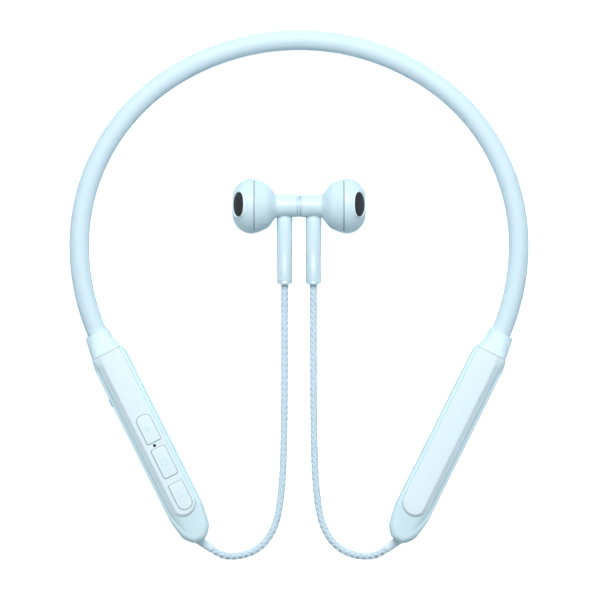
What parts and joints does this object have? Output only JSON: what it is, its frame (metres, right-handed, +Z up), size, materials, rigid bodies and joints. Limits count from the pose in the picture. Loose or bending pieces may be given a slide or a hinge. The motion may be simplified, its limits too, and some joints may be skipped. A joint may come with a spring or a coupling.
{
  "type": "neckband earphones",
  "caption": "Wireless neckband earphones: a soft tube round the neck, a long control or battery pod at each end, and a braided cord from each pod to an earbud, latched together by magnets.",
  "frame": {"origin": "on the table, under the middle of the neckband's bounding box", "axes": "+Z up from the table, +Y towards the back of the neckband, +X to the wearer-side pod without keys"},
  "size_m": [0.1378, 0.1591, 0.0166],
  "materials": {
    "band_silicone": "matte silicone, icy blue",
    "spring_wire": "drawn spring steel",
    "wire_jacket": "thin wire jacket",
    "pod_plastic": "satin, icy blue",
    "deck_plastic": "soft gloss, pale icy blue",
    "key_plastic": "soft gloss, pale icy blue",
    "soft_rubber": "moulded soft rubber",
    "circuit_board": "green solder mask",
    "switch_metal": "stamped metal",
    "port_plastic": "black moulding",
    "battery_wrap": "laminated pouch",
    "foam": "open foam",
    "braid": "tight braid, icy blue",
    "relief_rubber": "satin",
    "head_plastic": "satin gloss, icy blue",
    "grille_mesh": "fine perforated mesh, dark grey",
    "magnet_metal": "nickel plate",
    "basket_plastic": "black moulding",
    "coil_copper": "enamelled copper wire",
    "cone_film": "thin film",
    "stem_plastic": "satin gloss, icy blue",
    "ring_metal": "bright ring"
  },
  "bodies": {
    "band": {"neckband_sleeve": "band_silicone", "memory_wire": "spring_wire", "wire_harness": "wire_jacket"},
    "left_arm": {"left_collar": "pod_plastic", "left_base_shell": "pod_plastic", "left_top_cover": "deck_plastic", "key_pad": "soft_rubber", "tact_switches": "switch_metal", "main_board": "circuit_board", "radio_shield": "switch_metal", "microphone": "switch_metal", "mic_gasket": "soft_rubber", "charging_port": "switch_metal", "port_tongue": "port_plastic", "left_strain_relief": "relief_rubber", "left_cord": "braid"},
    "right_arm": {"right_collar": "pod_plastic", "right_base_shell": "pod_plastic", "right_top_cover": "deck_plastic", "battery_cell": "battery_wrap", "battery_board": "circuit_board", "battery_foam": "foam", "right_strain_relief": "relief_rubber", "right_cord": "braid"},
    "volume_up": {"volume_up_button": "key_plastic"},
    "play": {"play_button": "key_plastic"},
    "volume_down": {"volume_down_button": "key_plastic"},
    "flap": {"port_flap": "soft_rubber"},
    "left_earbud": {"left_front_shell": "head_plastic", "left_grille": "grille_mesh", "left_rear_shell": "head_plastic", "left_magnet_cap": "head_plastic", "left_latch_magnet": "magnet_metal", "left_driver_basket": "basket_plastic", "left_driver_magnet": "magnet_metal", "left_driver_surround": "soft_rubber", "left_stem_tube": "stem_plastic", "left_stem_ring": "ring_metal"},
    "left_cone": {"left_voice_coil": "coil_copper", "left_diaphragm": "cone_film"},
    "right_earbud": {"right_front_shell": "head_plastic", "right_grille": "grille_mesh", "right_rear_shell": "head_plastic", "right_magnet_cap": "head_plastic", "right_latch_magnet": "magnet_metal", "right_driver_basket": "basket_plastic", "right_driver_magnet": "magnet_metal", "right_driver_surround": "soft_rubber", "right_stem_tube": "stem_plastic", "right_stem_ring": "ring_metal"},
    "right_cone": {"right_voice_coil": "coil_copper", "right_diaphragm": "cone_film"}
  },
  "joints": [
    {"name": "left_arm_flex", "type": "hinge", "parent": "band", "child": "left_arm", "pos_m": [-0.0547, 0.0451, 0.0037], "axis": [0, 0, -1], "range_deg": [0, 20], "stiffness_Nm_per_rad": 0.05, "deforming": ["neckband_sleeve", "memory_wire", "wire_harness"]},
    {"name": "right_arm_flex", "type": "hinge", "parent": "band", "child": "right_arm", "pos_m": [0.0547, 0.0451, 0.0037], "axis": [0, 0, 1], "range_deg": [0, 20], "stiffness_Nm_per_rad": 0.05, "deforming": ["neckband_sleeve", "memory_wire", "wire_harness"]},
    {"name": "left_earbud_slide", "type": "slide", "parent": "left_arm", "child": "left_earbud", "axis": [-1, 0, 0], "range_m": [0, 0.025], "deforming": ["left_cord"]},
    {"name": "right_earbud_slide", "type": "slide", "parent": "right_arm", "child": "right_earbud", "axis": [1, 0, 0], "range_m": [0, 0.025], "deforming": ["right_cord"]},
    {"name": "volume_up_press", "type": "slide", "parent": "left_arm", "child": "volume_up", "axis": [0, 0, -1], "range_m": [0, 0.00035], "stiffness_N_per_m": 2000, "deforming": ["key_pad"]},
    {"name": "play_press", "type": "slide", "parent": "left_arm", "child": "play", "axis": [0, 0, -1], "range_m": [0, 0.00035], "stiffness_N_per_m": 2000, "deforming": ["key_pad"]},
    {"name": "volume_down_press", "type": "slide", "parent": "left_arm", "child": "volume_down", "axis": [0, 0, -1], "range_m": [0, 0.00035], "stiffness_N_per_m": 2000, "deforming": ["key_pad"]},
    {"name": "port_flap_hinge", "type": "hinge", "parent": "left_arm", "child": "flap", "pos_m": [-0.05185, -0.04378, 0.00425], "axis": [0, 0, 1], "range_deg": [0, 110]},
    {"name": "left_cone_stroke", "type": "slide", "parent": "left_earbud", "child": "left_cone", "axis": [-1, 0, 0], "range_m": [-0.00015, 0.00015], "stiffness_N_per_m": 300, "deforming": ["left_driver_surround"]},
    {"name": "right_cone_stroke", "type": "slide", "parent": "right_earbud", "child": "right_cone", "axis": [1, 0, 0], "range_m": [-0.00015, 0.00015], "stiffness_N_per_m": 300, "deforming": ["right_driver_surround"]}
  ]
}
